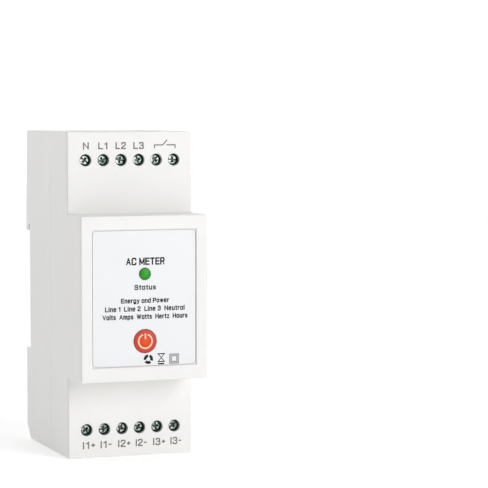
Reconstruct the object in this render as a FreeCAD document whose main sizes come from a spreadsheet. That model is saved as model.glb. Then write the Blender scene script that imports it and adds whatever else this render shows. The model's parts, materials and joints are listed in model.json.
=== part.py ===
"""Three-phase power meter in a two-module housing for a 35 mm rail.

Millimetres. The origin is the middle of the seat that touches the front of the rail:
+X runs across the housing, +Y points back into the rail and +Z is up. A depth is a
distance in front of the seat, so a depth of 10 lies at Y = -10, and a level is a
height above or below the middle of the rail.
"""
import FreeCAD, Part
import math
import os
import re
import Sketcher
from FreeCAD import Placement, Rotation, Vector

SIZES = {
    # Housing
    "case_width": 36.0,
    "case_height": 90.0,
    "face_depth": 39.5,
    "block_height": 45.0,
    "block_depth": 52.5,
    "parting_depth": 22.5,
    "seam": 0.12,
    "wall": 1.8,
    "floor_depth": 2.0,
    "corner_round": 0.5,
    "step_round": 0.35,
    # Rear feet, which hold the rail between them
    "foot_rise": 4.0,
    "foot_lean": 1.2,
    "foot_bevel": 4.2,
    "foot_core": 3.0,
    "rail_upper": 16.0,
    "rail_lower": 18.3,
    "seat_half": 15.9,
    "seat_relief": 0.2,
    "flange_slot": 1.2,
    "hook_level": 17.8,
    # Lap joint between base and cover
    "lap_reach": 2.0,
    "lap_thick": 0.9,
    "lap_gap": 0.1,
    "snap_rise": 0.4,
    "snap_half": 3.0,
    "snap_level": 18.0,
    "snap_root": 0.5,
    # Posts in the base that carry the two circuit boards
    "post_width": 2.1,
    "post_height": 3.0,
    "post_level": 27.0,
    "stud_radius": 1.8,
    "stud_level": 33.0,
    "stud_offset": 11.0,
    # Front label, indicator and button
    "label_width": 29.1,
    "label_height": 36.7,
    "label_round": 1.0,
    "label_sink": 0.35,
    "label_thick": 0.35,
    "label_gap": 0.16,
    "bevel_width": 0.25,
    "control_offset": 0.15,
    "control_proud": 0.3,
    "control_crown": 0.25,
    "lens_level": 6.6,
    "lens_radius": 1.6,
    "lens_stem": 1.2,
    "lens_flange": 2.3,
    "button_level": 11.7,
    "button_radius": 3.2,
    "button_flange": 4.1,
    "flange_thick": 0.68,
    "hole_gap": 0.12,
    # Terminals
    "terminal_pitch": 5.08,
    "terminal_count": 6,
    "terminal_level": 37.15,
    "well_radius": 1.7,
    "collar_radius": 1.6,
    "collar_sink": 1.0,
    "bore_radius": 1.45,
    "block_gap": 0.2,
    "block_inner": 31.45,
    "block_outer": 43.0,
    "nose_level": 44.4,
    "nose_front": 33.0,
    "nose_rear": 26.0,
    "window_gap": 0.2,
    "web_depth": 36.4,
    "web_thick": 0.5,
    "web_hole": 1.35,
    "slot_ease": 0.7,
    "cell_width": 4.3,
    "cell_height": 5.4,
    "entry_radius": 1.6,
    "entry_depth": 29.4,
    "funnel_rise": 0.6,
    "mouth_radius": 2.0,
    # Screws
    "head_radius": 1.38,
    "head_sink": 1.5,
    "head_height": 1.5,
    "head_edge": 0.25,
    "shank_radius": 1.2,
    "shank_depth": 31.85,
    "drive_width": 0.5,
    "drive_depth": 0.6,
    "cross_width": 0.7,
    "cross_length": 1.7,
    "cross_depth": 0.9,
    # Rising cages and the contacts that they clamp wires to
    "cage_width": 4.1,
    "cage_height": 5.0,
    "cage_depth": 32.85,
    "cage_front": 1.0,
    "cage_window": 4.0,
    "cage_rear": 1.2,
    "cage_opening": 2.8,
    "thread_radius": 1.25,
    "contact_depth": 31.75,
    "contact_thick": 0.8,
    "contact_width": 2.4,
    "contact_end": 39.75,
    "pin_level": 33.5,
    "pin_size": 0.8,
    "pin_depth": 22.9,
    # Circuit boards
    "board_thick": 1.6,
    "main_depth": 25.4,
    "main_width": 30.0,
    "main_height": 84.0,
    "power_depth": 5.6,
    "power_width": 27.8,
    "power_height": 80.0,
    "front_depth": 45.6,
    "front_width": 28.0,
    "front_height": 37.0,
    "header_pitch": 2.54,
    "header_pin": 0.64,
    "link_across": 5.5,
    "link_level": 37.0,
    "front_link_across": 7.0,
    "front_link_level": 16.0,
    # Push switch behind the button
    "switch_size": 6.0,
    "switch_tall": 3.5,
    "plunger_radius": 1.7,
    "plunger_proud": 0.5,
    "plunger_sunk": 1.5,
    # Rail clip and its spring
    "clip_width": 12.0,
    "clip_flange": 15.8,
    "clip_gap": 0.1,
    "clip_front": 0.85,
    "clip_flange_rear": 2.35,
    "clip_rear": 3.9,
    "clip_nose_front": 1.1,
    "clip_nose_level": 16.0,
    "clip_inset": 0.2,
    "clip_window": 3.2,
    "clip_tip": 0.6,
    "pull_half": 2.4,
    "pull_front": 1.5,
    "pull_rear": 2.4,
    "pull_reach": 5.0,
    "spring_level": 33.0,
    "spring_length": 11.0,
    "spring_radius": 1.4,
    "spring_bore": 0.9,
    "spring_offset": 2.3,
    "stop_height": 3.0,
    "stop_width": 2.8,
    "stop_root": 0.5,
    "stop_ease": 0.2,
}

# Board components: width, height off the board, height up the housing, and the middle's
# place across and up. A round one's width is its diameter.
COMPONENTS = {
    "relay_body": (10.0, 15.6, 12.6, -7.5, 32.0),
    "core": (16.0, 13.0, 14.0, 4.5, 9.0),
    "core_window": (12.0, 9.0, 15.0, 4.5, 9.0),
    "winding": (11.6, 8.6, 17.0, 4.5, 9.0),
    "bulk": (8.0, 12.0, 8.0, -8.0, 5.0),
    "safety_capacitor": (5.0, 11.0, 13.0, -10.0, -10.0),
    "varistor": (7.0, 8.0, 3.0, 8.0, -34.4),
    "bridge_rectifier": (6.4, 2.6, 5.0, -2.0, -8.0),
    "filter_inductor": (8.0, 9.5, 8.0, 6.0, -10.5),
    "input_fuse": (3.6, 10.0, 3.6, 7.0, -20.0),
    "metering_chip": (9.0, 1.4, 9.0, -7.0, 12.0),
    "crystal": (3.2, 1.1, 1.5, -7.0, 4.5),
    "wireless_module": (16.0, 0.8, 18.0, 4.5, -12.0),
    "wireless_shield": (13.0, 2.2, 13.0, 4.5, -10.5),
    "coupler": (4.6, 2.0, 4.4, -10.0, -28.0),
    "divider": (3.2, 0.6, 1.6, -8.0, 19.5),
    "burden": (3.2, 0.5, 1.6, -9.0, -8.0),
    "status_led": (2.0, 0.7, 1.25, 0.15, 6.6),
}
PITCHES = {
    "core_foot": 2.0,
    "bulk_pitch": 9.0,
    "varistor_pitch": 4.2,
    "coupler_pitch": 5.4,
    "divider_pitch": 2.2,
    "burden_pitch": 2.6,
}

ORIGIN = -1
START, END, CENTRE = 1, 2, 3
FUNNEL_TAPER = -33.7
SLOT_TURNS = (38, -24, 12, 71, -51, 4, 55, -12, -66, 27, 83, -38)

doc = FreeCAD.newDocument("PowerMeter")


def fill_sheet():
    """Put every driving size in the document's spreadsheet."""
    sheet = doc.addObject("Spreadsheet::Sheet", "Sizes")
    cells = {**SIZES, **PITCHES}
    for part, values in COMPONENTS.items():
        for word, value in zip(("wide", "tall", "high", "across", "level"), values):
            cells[f"{part}_{word}"] = value
    for row, (name, value) in enumerate(cells.items(), start=1):
        sheet.set(f"A{row}", name)
        sheet.set(f"B{row}", str(value))
        sheet.setAlias(f"B{row}", name)
    doc.recompute()


def bound(text):
    """Write a formula of size names as the sheet's own expression."""
    return re.sub(r"[a-z][a-z_]*", r"Sizes.\g<0>", str(text))


def new_body(name):
    body = doc.addObject("PartDesign::Body", name)
    body.Label = name
    return body


def origin_plane(body, role):
    return next(item for item in body.Origin.OriginFeatures if item.Role == role)


def sketch_on(body, role, offset="0"):
    """Start a sketch parallel to one of the body's origin planes.

    The normals are +Z for XY_Plane, -Y (forward) for XZ_Plane and +X for YZ_Plane.
    """
    sketch = body.newObject("Sketcher::SketchObject", "Outline")
    sketch.AttachmentSupport = [(origin_plane(body, role), "")]
    sketch.MapMode = "FlatFace"
    sketch.setExpression(".AttachmentOffset.Base.z", bound(offset))
    return sketch


def hold_point(sketch, curve, end, across, up):
    """Fix one point of a curve at a place given by two formulas."""
    for kind, formula in (("DistanceX", across), ("DistanceY", up)):
        link = Sketcher.Constraint(kind, ORIGIN, 1, curve, end, 1.0)
        index = sketch.addConstraint(link)
        sketch.setExpression(f"Constraints[{index}]", bound(formula))


def polygon(sketch, corners):
    """Draw a closed outline through corners given as pairs of formulas."""
    count = len(corners)
    turns = [2 * math.pi * step / count for step in range(count + 1)]
    points = [Vector(30 * math.cos(turn), 30 * math.sin(turn), 0) for turn in turns]
    first = sketch.GeometryCount
    for start, end in zip(points, points[1:]):
        sketch.addGeometry(Part.LineSegment(start, end), False)
    for index in range(count):
        following = first + (index + 1) % count
        sketch.addConstraint(Sketcher.Constraint("Coincident", first + index, END, following, START))
    for index, (across, up) in enumerate(corners):
        hold_point(sketch, first + index, START, across, up)
    return sketch


def rectangle(sketch, across, up):
    """Draw a rectangle between two pairs of formulas."""
    (left, right), (low, high) = across, up
    return polygon(sketch, [(left, low), (right, low), (right, high), (left, high)])


def circle(sketch, across, up, radius):
    index = sketch.addGeometry(Part.Circle(Vector(0, 0, 0), Vector(0, 0, 1), 1.0), False)
    hold_point(sketch, index, CENTRE, across, up)
    size = sketch.addConstraint(Sketcher.Constraint("Radius", index, 1.0))
    sketch.setExpression(f"Constraints[{size}]", bound(radius))
    return sketch


def pad(body, sketch, length, symmetric=False):
    feature = body.newObject("PartDesign::Pad", "Pad")
    feature.Profile = sketch
    feature.setExpression("Length", bound(length))
    if symmetric:
        feature.SideType = "Symmetric"
    return feature


def pocket(body, sketch, length, symmetric=False, forward=False):
    """Cut against the sketch's normal, along it (forward), or both ways."""
    feature = body.newObject("PartDesign::Pocket", "Pocket")
    feature.Profile = sketch
    feature.setExpression("Length", bound(length))
    feature.Reversed = forward
    if symmetric:
        feature.SideType = "Symmetric"
    return feature


def turned(body, corners, crown=None):
    """Revolve an outline of (radius, depth) corners round the body's Y axis.

    crown is the place in the list of the side that bulges as an arc centred on the axis.
    """
    sketch = sketch_on(body, "XY_Plane")
    polygon(sketch, [(radius, f"-({depth})") for radius, depth in corners])
    if crown is not None:
        bulge_side(sketch, crown)
    feature = body.newObject("PartDesign::Revolution", "Revolution")
    feature.Profile = sketch
    feature.ReferenceAxis = (sketch, ["V_Axis"])
    feature.Angle = 360
    return feature


def bulge_side(sketch, side):
    """Swap one straight side that starts on the V axis for an arc centred on that axis."""
    doc.recompute()
    middle, edge = sketch.getPoint(side, START), sketch.getPoint(side, END)
    rise = edge.y - middle.y
    radius = (edge.x ** 2 + rise ** 2) / (2 * rise)
    hub = Vector(0, middle.y + radius, 0)
    reach = math.asin(edge.x / radius)
    whole = Part.Circle(hub, Vector(0, 0, 1), radius)
    arc = Part.ArcOfCircle(whole, 1.5 * math.pi, 1.5 * math.pi + reach)
    sketch.toggleConstruction(side)
    index = sketch.addGeometry(arc, False)
    sketch.addConstraint(Sketcher.Constraint("Coincident", index, START, side, START))
    sketch.addConstraint(Sketcher.Constraint("Coincident", index, END, side, END))
    sketch.addConstraint(Sketcher.Constraint("PointOnObject", index, CENTRE, -2))


def repeat_across(body, originals, spacing, count):
    """Repeat features along +X."""
    feature = body.newObject("PartDesign::LinearPattern", "Row")
    feature.Originals = originals
    feature.Direction = (origin_plane(body, "YZ_Plane"), [""])
    feature.Mode = "Spacing"
    feature.setExpression("Offset", bound(spacing))
    feature.setExpression("Occurrences", bound(count))
    body.Tip = feature
    return feature


def mirrored(body, originals, role):
    feature = body.newObject("PartDesign::Mirrored", "Mirrored")
    feature.Originals = originals
    feature.MirrorPlane = (origin_plane(body, role), [""])
    body.Tip = feature
    return feature


def edges_where(feature, test):
    """Name the straight edges of a feature whose middle and direction pass a test."""
    doc.recompute()
    names = []
    for number, edge in enumerate(feature.Shape.Edges, start=1):
        ends = [vertex.Point for vertex in edge.Vertexes]
        if len(ends) == 2 and near(edge.Length, (ends[1] - ends[0]).Length):
            if test(edge.CenterOfMass, (ends[1] - ends[0]).normalize()):
                names.append(f"Edge{number}")
    return names


def round_edges(body, feature, test, radius):
    """Round the straight edges of a feature that pass a test."""
    fillet = body.newObject("PartDesign::Fillet", "Fillet")
    fillet.Base = (feature, edges_where(feature, test))
    fillet.setExpression("Radius", bound(radius))


def near(value, *targets):
    return any(abs(value - target) < 0.01 for target in targets)


def put(piece, across, depth, level, turn=0.0):
    """Place a sub-part by formulas, turned about its own Y axis."""
    piece.Placement = Placement(Vector(0, 0, 0), Rotation(Vector(0, 1, 0), turn))
    piece.setExpression("Placement.Base.x", bound(across))
    piece.setExpression("Placement.Base.y", bound(f"-({depth})"))
    piece.setExpression("Placement.Base.z", bound(level))


def base_housing():
    """Rear half: a tray whose back carries the two feet that grip the rail."""
    body = new_body("base_housing")
    outline = polygon(sketch_on(body, "YZ_Plane"), [
        ("-parting_depth", "-case_height / 2"),
        ("foot_rise - foot_bevel", "-case_height / 2"),
        ("foot_rise", "-case_height / 2 + foot_bevel"),
        ("foot_rise", "-rail_lower"),
        ("0", "-rail_lower"),
        ("0", "rail_upper"),
        ("foot_rise", "rail_upper"),
        ("foot_rise - foot_lean", "case_height / 2"),
        ("-parting_depth", "case_height / 2"),
    ])
    shell = pad(body, outline, "case_width", symmetric=True)
    side, top = SIZES["case_width"] / 2, SIZES["case_height"] / 2
    round_edges(body, shell, lambda middle, way: near(abs(middle.x), side)
                and near(abs(middle.z), top) and near(abs(way.y), 1), "corner_round")
    cavity = rectangle(sketch_on(body, "XZ_Plane", "parting_depth"),
                       ("-case_width / 2 + wall", "case_width / 2 - wall"),
                       ("-case_height / 2 + wall", "case_height / 2 - wall"))
    pocket(body, cavity, "parting_depth - floor_depth")
    add_lap_rim(body)
    add_rail_slots(body)
    add_clip_channel(body)
    add_foot_cores(body)
    add_board_posts(body)


def add_lap_rim(body):
    """Thin rim that slips inside the cover, with a snap ridge on each long side."""
    rim = sketch_on(body, "XZ_Plane", "parting_depth - wall")
    for inset in ("(wall + lap_gap)", "(wall + lap_gap + lap_thick)"):
        rectangle(rim, (f"-case_width / 2 + {inset}", f"case_width / 2 - {inset}"),
                  (f"-case_height / 2 + {inset}", f"case_height / 2 - {inset}"))
    pad(body, rim, "wall + lap_reach")
    root = sketch_on(body, "XZ_Plane", "parting_depth - wall")
    for inset in ("wall / 2", "(wall + lap_gap + lap_thick)"):
        rectangle(root, (f"-case_width / 2 + {inset}", f"case_width / 2 - {inset}"),
                  (f"-case_height / 2 + {inset}", f"case_height / 2 - {inset}"))
    pad(body, root, "wall / 2")
    ridge = rectangle(sketch_on(body, "XZ_Plane", "parting_depth + lap_reach / 2"),
                      ("case_width / 2 - wall - lap_gap - lap_thick / 2",
                       "case_width / 2 - wall - lap_gap + snap_rise"),
                      ("snap_level - snap_half", "snap_level + snap_half"))
    upper = pad(body, ridge, "lap_reach / 3")
    mirrored(body, [upper], "YZ_Plane")
    ridge = rectangle(sketch_on(body, "XZ_Plane", "parting_depth + lap_reach / 2"),
                      ("case_width / 2 - wall - lap_gap - lap_thick / 2",
                       "case_width / 2 - wall - lap_gap + snap_rise"),
                      ("-snap_level - snap_half", "-snap_level + snap_half"))
    lower = pad(body, ridge, "lap_reach / 3")
    mirrored(body, [lower], "YZ_Plane")


def add_rail_slots(body):
    """Slot under the fixed hook for the rail's upper flange, and a relief below the seat."""
    hook = rectangle(sketch_on(body, "YZ_Plane"),
                     ("-seat_relief", "flange_slot"), ("seat_half", "hook_level"))
    pocket(body, hook, "case_width + 2", symmetric=True)
    relief = rectangle(sketch_on(body, "YZ_Plane"),
                       ("-seat_relief", "seat_relief"), ("-rail_lower", "-seat_half"))
    pocket(body, relief, "case_width + 2", symmetric=True)


def add_clip_channel(body):
    """T-shaped guide for the rail clip, with a stop that its spring pushes against."""
    outer, inner = "(clip_flange / 2 + clip_gap)", "(clip_width / 2 + clip_gap * 2)"
    front, ledge = "clip_front - clip_gap * 1.5", "clip_flange_rear + clip_gap * 1.5"
    channel = polygon(sketch_on(body, "XY_Plane", "-rail_lower + seat_relief"), [
        (f"-{outer}", front), (outer, front), (outer, ledge), (inner, ledge),
        (inner, "foot_rise + 1"), (f"-{inner}", "foot_rise + 1"),
        (f"-{inner}", ledge), (f"-{outer}", ledge),
    ])
    pocket(body, channel, "case_height / 2")
    stop = rectangle(sketch_on(body, "XY_Plane", "-spring_level - stop_height"),
                     ("-stop_width / 2", "stop_width / 2"),
                     ("clip_front - stop_root", "clip_rear - stop_ease"))
    pad(body, stop, "stop_height")


def add_foot_cores(body):
    """Moulded hollows in the back of both feet, which keep the walls even."""
    behind = "-foot_rise - 1"
    upper = rectangle(sketch_on(body, "XZ_Plane", behind),
                      ("wall / 2", "case_width / 2 - wall"),
                      ("rail_upper + 4", "case_height / 2 - wall"))
    first = pocket(body, upper, "foot_core + 1", forward=True)
    mirrored(body, [first], "YZ_Plane")
    lower = rectangle(sketch_on(body, "XZ_Plane", behind),
                      ("clip_flange / 2 + wall", "case_width / 2 - wall"),
                      ("-case_height / 2 + foot_bevel + wall", "-rail_lower - wall"))
    second = pocket(body, lower, "foot_core + 1", forward=True)
    mirrored(body, [second], "YZ_Plane")


def add_board_posts(body):
    """Four corner posts under the main board and four studs under the power board."""
    edge = "case_width / 2 - wall"
    for side in ("", "-"):
        post = rectangle(sketch_on(body, "XZ_Plane", "floor_depth"),
                         (f"{edge} - post_width", f"{edge} - lap_gap"),
                         (f"{side}post_level - post_height / 2", f"{side}post_level + post_height / 2"))
        tall = pad(body, post, "main_depth - board_thick - floor_depth")
        mirrored(body, [tall], "YZ_Plane")
        stud = circle(sketch_on(body, "XZ_Plane", "floor_depth - wall / 4"),
                      "stud_offset", f"{side}stud_level", "stud_radius")
        short = pad(body, stud, "power_depth - board_thick - floor_depth + wall / 4")
        mirrored(body, [short], "YZ_Plane")


def front_cover():
    """Front half: two terminal faces and the raised block between them."""
    body = new_body("front_cover")
    shell = pad(body, cover_outline(body, "0", "parting_depth + seam"), "case_width", symmetric=True)
    round_steps(body, shell)
    hollow = cover_outline(body, "wall", "parting_depth - wall")
    pocket(body, hollow, "case_width - 2 * wall", symmetric=True)
    add_label_recess(body)
    add_wells(body)
    add_wire_windows(body)
    add_snap_pockets(body)


def cover_outline(body, inset, rear_depth):
    """Side view of the cover, drawn inside its skin by an inset."""
    rear, face, block = f"-({rear_depth})", f"-face_depth + {inset}", f"-block_depth + {inset}"
    case, step = f"case_height / 2 - {inset}", f"block_height / 2 - {inset}"
    return polygon(sketch_on(body, "YZ_Plane"), [
        (rear, f"-({case})"), (face, f"-({case})"), (face, f"-({step})"), (block, f"-({step})"),
        (block, step), (face, step), (face, case), (rear, case),
    ])


def round_steps(body, shell):
    """Round the outer edges, then ease the two inner corners where the block meets the faces."""
    round_cover(body, shell)
    face, step = SIZES["face_depth"], SIZES["block_height"] / 2
    round_edges(body, body.Tip, lambda middle, way: near(abs(way.x), 1)
                and near(-middle.y, face) and near(abs(middle.z), step), "step_round")


def round_cover(body, shell):
    """Round every outer edge of the shell except the parting line and the two steps."""
    side, case = SIZES["case_width"] / 2, SIZES["case_height"] / 2
    face, block, step = SIZES["face_depth"], SIZES["block_depth"], SIZES["block_height"] / 2

    def outer(middle, way):
        upright = near(abs(way.z), 1) and near(-middle.y, face, block)
        ends = near(abs(way.x), 1) and near(abs(middle.z), case) and near(-middle.y, face)
        brow = near(abs(way.x), 1) and near(abs(middle.z), step) and near(-middle.y, block)
        flank = near(abs(way.y), 1) and near(abs(middle.z), case, step) and near(abs(middle.x), side)
        return upright or ends or brow or flank

    round_edges(body, shell, outer, "corner_round")


def add_label_recess(body):
    """Shallow bevelled recess for the label, with holes for the lens and the button."""
    half_width, half_height = "(label_width / 2 + label_gap)", "(label_height / 2 + label_gap)"
    recess = rectangle(sketch_on(body, "XZ_Plane", "block_depth"),
                       (f"-{half_width}", half_width), (f"-{half_height}", half_height))
    cut = pocket(body, recess, "label_sink + label_thick")
    middle_depth = SIZES["block_depth"] - (SIZES["label_sink"] + SIZES["label_thick"]) / 2
    round_edges(body, cut, lambda middle, way: near(abs(way.y), 1) and near(-middle.y, middle_depth),
                "label_round")
    rim = rectangle(sketch_on(body, "XZ_Plane", "block_depth"),
                    (f"-{half_width} - bevel_width", f"{half_width} + bevel_width"),
                    (f"-{half_height} - bevel_width", f"{half_height} + bevel_width"))
    floor = rectangle(sketch_on(body, "XZ_Plane", "block_depth - label_sink"),
                      (f"-{half_width}", half_width), (f"-{half_height}", half_height))
    bevel = body.newObject("PartDesign::SubtractiveLoft", "Bevel")
    bevel.Profile = rim
    bevel.Sections = [floor]
    bevel.Ruled = True
    pierce_for_controls(body)


def pierce_for_controls(body):
    """Holes for the lens and the button, through everything behind the block's face."""
    holes = sketch_on(body, "XZ_Plane", "block_depth")
    circle(holes, "control_offset", "lens_level", "lens_radius + hole_gap")
    circle(holes, "control_offset", "-button_level", "button_radius + hole_gap")
    pocket(body, holes, "2 * wall")


def add_wells(body):
    """Round wells in both terminal faces, one over each screw."""
    first = "-terminal_pitch * (terminal_count - 1) / 2"
    wells = []
    for side in ("", "-"):
        sketch = sketch_on(body, "XZ_Plane", "face_depth + 1")
        circle(sketch, first, f"{side}terminal_level", "well_radius")
        wells.append(pocket(body, sketch, "wall + 2"))
    repeat_across(body, wells, "terminal_pitch", "terminal_count")


def add_wire_windows(body):
    """Long openings in the top and bottom walls for the noses of the terminal blocks."""
    reach = "(terminal_pitch * terminal_count / 2 + window_gap)"
    sketch = rectangle(sketch_on(body, "XY_Plane", "case_height / 2 + 1"),
                       (f"-{reach}", reach),
                       ("-nose_front - window_gap", "-nose_rear + window_gap"))
    top = pocket(body, sketch, "wall + 2")
    mirrored(body, [top], "XY_Plane")


def add_snap_pockets(body):
    """Shallow pockets inside the long walls that the snap ridges spring into."""
    inner = "case_width / 2 - wall"
    for side in ("", "-"):
        sketch = rectangle(sketch_on(body, "XZ_Plane", "parting_depth + lap_reach / 3"),
                           (f"{inner} - snap_root", f"{inner} + snap_rise"),
                           (f"{side}snap_level - snap_half - lap_gap * 2",
                            f"{side}snap_level + snap_half + lap_gap * 2"))
        first = pocket(body, sketch, "lap_reach * 2 / 3", forward=True)
        mirrored(body, [first], "YZ_Plane")


def label_plate():
    """Printed plate in the recess, pierced for the lens and the button."""
    body = new_body("label_plate")
    outline = rectangle(sketch_on(body, "XZ_Plane", "block_depth - label_sink - label_thick"),
                        ("-label_width / 2", "label_width / 2"),
                        ("-label_height / 2", "label_height / 2"))
    plate = pad(body, outline, "label_thick")
    round_edges(body, plate, lambda middle, way: near(abs(way.y), 1), "label_round")
    pierce_for_controls(body)


def indicator_lens():
    """Green light pipe with a domed head, held by a flange behind the wall."""
    body = new_body("indicator_lens")
    proud = "block_depth - label_sink + control_proud"
    turned(body, [
        ("0", f"{proud}"),
        ("lens_radius", f"{proud} - control_crown"),
        ("lens_radius", "block_depth - wall"),
        ("lens_flange", "block_depth - wall"),
        ("lens_flange", "block_depth - wall - flange_thick"),
        ("lens_stem", "block_depth - wall - flange_thick"),
        ("lens_stem", "front_depth + 1"),
        ("0", "front_depth + 1"),
    ], crown=0)
    put(body, "control_offset", "0", "lens_level")


def power_button():
    """Round push button with a domed cap, a retaining flange and a short stem."""
    body = new_body("power_button")
    proud = "block_depth - label_sink + control_proud"
    flange = "block_depth - wall - hole_gap / 6"
    turned(body, [
        ("0", proud),
        ("button_radius", f"{proud} - control_crown"),
        ("button_radius", flange),
        ("button_flange", flange),
        ("button_flange", f"{flange} - flange_thick"),
        ("plunger_radius", f"{flange} - flange_thick"),
        ("plunger_radius", "front_depth + switch_tall + plunger_proud"),
        ("0", "front_depth + switch_tall + plunger_proud"),
    ], crown=0)
    put(body, "control_offset", "0", "-button_level")


def terminal_block(name, turn):
    """Six-way terminal block: screws face forward and wires enter from the end."""
    body = new_body(name)
    half = "(terminal_pitch * terminal_count / 2)"
    front = "face_depth - wall - block_gap"
    outline = rectangle(sketch_on(body, "XZ_Plane", "main_depth"),
                        (f"-{half}", half), ("block_inner", "block_outer"))
    pad(body, outline, f"{front} - main_depth")
    nose = rectangle(sketch_on(body, "XY_Plane", "block_outer"),
                     (f"-{half}", half), ("-nose_front", "-nose_rear"))
    pad(body, nose, "nose_level - block_outer")
    first = "(-terminal_pitch * (terminal_count - 1) / 2)"
    features = terminal_way(body, first, front)
    repeat_across(body, features, "terminal_pitch", "terminal_count")
    put(body, "0", "0", "0", turn)


def terminal_way(body, across, front):
    """Everything that one way of the block has: collar, bore, cell, contact slot, wire entry."""
    collar = circle(sketch_on(body, "XZ_Plane", f"{front} - 1"), across, "terminal_level", "collar_radius")
    bore = circle(sketch_on(body, "XZ_Plane", "face_depth"), across, "terminal_level", "bore_radius")
    hole = circle(sketch_on(body, "XZ_Plane", "face_depth"), across, "terminal_level", "web_hole")
    cell = rectangle(sketch_on(body, "XZ_Plane", "web_depth - web_thick"),
                     (f"{across} - cell_width / 2", f"{across} + cell_width / 2"),
                     ("terminal_level - cell_height / 2", "terminal_level + cell_height / 2"))
    slot = rectangle(sketch_on(body, "XZ_Plane", "contact_depth + lap_gap"),
                     (f"{across} - contact_width / 2 - lap_gap", f"{across} + contact_width / 2 + lap_gap"),
                     ("pin_level - slot_ease", "terminal_level"))
    entry = circle(sketch_on(body, "XY_Plane", "nose_level"), across, "-entry_depth", "entry_radius")
    mouth = circle(sketch_on(body, "XY_Plane", "nose_level"), across, "-entry_depth", "mouth_radius")
    funnel = pocket(body, mouth, "funnel_rise")
    funnel.TaperAngle = FUNNEL_TAPER
    return [
        pad(body, collar, "1 + wall + block_gap - collar_sink"),
        pocket(body, bore, "face_depth - web_depth"),
        pocket(body, hole, "face_depth - web_depth + web_thick"),
        pocket(body, cell, "web_depth - web_thick - main_depth"),
        pocket(body, slot, "contact_depth + lap_gap - main_depth"),
        pocket(body, entry, "nose_level - terminal_level"),
        funnel,
    ]


def terminal_contacts(name, turn):
    """Six tinned contacts: a tongue through each cage and a pin into the main board."""
    body = new_body(name)
    body.AllowCompound = True
    first = "-terminal_pitch * (terminal_count - 1) / 2"
    tongue = rectangle(sketch_on(body, "YZ_Plane", first),
                       ("-contact_depth", "-contact_depth + contact_thick"),
                       ("pin_level - pin_size / 2", "contact_end"))
    pin = rectangle(sketch_on(body, "YZ_Plane", first),
                    ("-contact_depth", "-pin_depth"),
                    ("pin_level - pin_size / 2", "pin_level + pin_size / 2"))
    features = [pad(body, tongue, "contact_width", symmetric=True),
                pad(body, pin, "pin_size", symmetric=True)]
    repeat_across(body, features, "terminal_pitch", "terminal_count")
    put(body, "0", "0", "0", turn)


def terminal_places():
    """List the twelve terminals as (number, across, side), top row first."""
    places = []
    for row, side in enumerate(("", "-")):
        for column in range(SIZES["terminal_count"]):
            across = f"terminal_pitch * ({column} - (terminal_count - 1) / 2)"
            places.append((row * SIZES["terminal_count"] + column + 1, across, side))
    return places


def terminal_screw(number, across, side):
    """Cheese-head screw with a slot and a cross recess."""
    body = new_body(f"terminal_screw_{number}")
    length = "face_depth - head_sink - shank_depth"
    turned(body, [
        ("0", "0"),
        ("head_radius - head_edge", "0"),
        ("head_radius", "-head_edge"),
        ("head_radius", "-head_height"),
        ("shank_radius", "-head_height"),
        ("shank_radius", f"-({length}) + head_edge"),
        ("shank_radius - head_edge", f"-({length})"),
        ("0", f"-({length})"),
    ])
    slot = rectangle(sketch_on(body, "XZ_Plane", "1"), ("-head_radius - 1", "head_radius + 1"),
                     ("-drive_width / 2", "drive_width / 2"))
    pocket(body, slot, "1 + drive_depth")
    cross = sketch_on(body, "XZ_Plane", "1")
    rectangle(cross, ("-cross_width / 2", "cross_width / 2"), ("-cross_length / 2", "cross_length / 2"))
    pocket(body, cross, "1 + cross_depth")
    put(body, across, "face_depth - head_sink", f"{side}terminal_level", SLOT_TURNS[number - 1])


def terminal_cage(number, across, side):
    """Rising cage: threaded front wall, open middle for contact and wire, rear wall."""
    body = new_body(f"terminal_cage_{number}")
    half_width, half_height = "cage_width / 2", "cage_height / 2"
    outline = rectangle(sketch_on(body, "XZ_Plane", "-cage_front - cage_window - cage_rear"),
                        (f"-{half_width}", half_width), (f"-{half_height}", half_height))
    pad(body, outline, "cage_front + cage_window + cage_rear")
    window = rectangle(sketch_on(body, "XY_Plane"), ("-cage_opening / 2", "cage_opening / 2"),
                       ("cage_front", "cage_front + cage_window"))
    pocket(body, window, "cage_height + 1", symmetric=True)
    thread = circle(sketch_on(body, "XZ_Plane", "0"), "0", "0", "thread_radius")
    pocket(body, thread, "cage_front + 1")
    put(body, across, "cage_depth", f"{side}terminal_level")


def rail_clip():
    """Sliding clip: bevelled nose under the rail, flanged slide, window for its spring."""
    body = new_body("rail_clip")
    outline = polygon(sketch_on(body, "YZ_Plane"), [
        ("clip_front", "-case_height / 2 + clip_inset + clip_front + foot_bevel - foot_rise + clip_inset"),
        ("clip_rear", "-case_height / 2 + clip_inset + clip_rear + foot_bevel - foot_rise + clip_inset"),
        ("clip_rear", "-rail_lower"),
        ("clip_nose_front + clip_tip", "-clip_nose_level"),
        ("clip_nose_front", "-clip_nose_level"),
        ("clip_nose_front", "-rail_lower - clip_gap"),
        ("clip_front", "-rail_lower - clip_gap"),
    ])
    pad(body, outline, "clip_width", symmetric=True)
    flange = rectangle(sketch_on(body, "YZ_Plane"), ("clip_front", "clip_flange_rear"),
                       ("-case_height / 2 + wall + clip_rear / 3", "-rail_lower - 1"))
    pad(body, flange, "clip_flange", symmetric=True)
    window = rectangle(sketch_on(body, "XZ_Plane", "-foot_rise - 1"),
                       ("-clip_window / 2", "clip_window / 2"),
                       ("-spring_level - stop_height - clip_gap", "-spring_level + spring_length"))
    pocket(body, window, "foot_rise + 1", forward=True)
    pull = rectangle(sketch_on(body, "XY_Plane", "-case_height / 2"),
                     ("-pull_half", "pull_half"), ("pull_front", "pull_rear"))
    pocket(body, pull, "pull_reach", forward=True)


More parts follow.
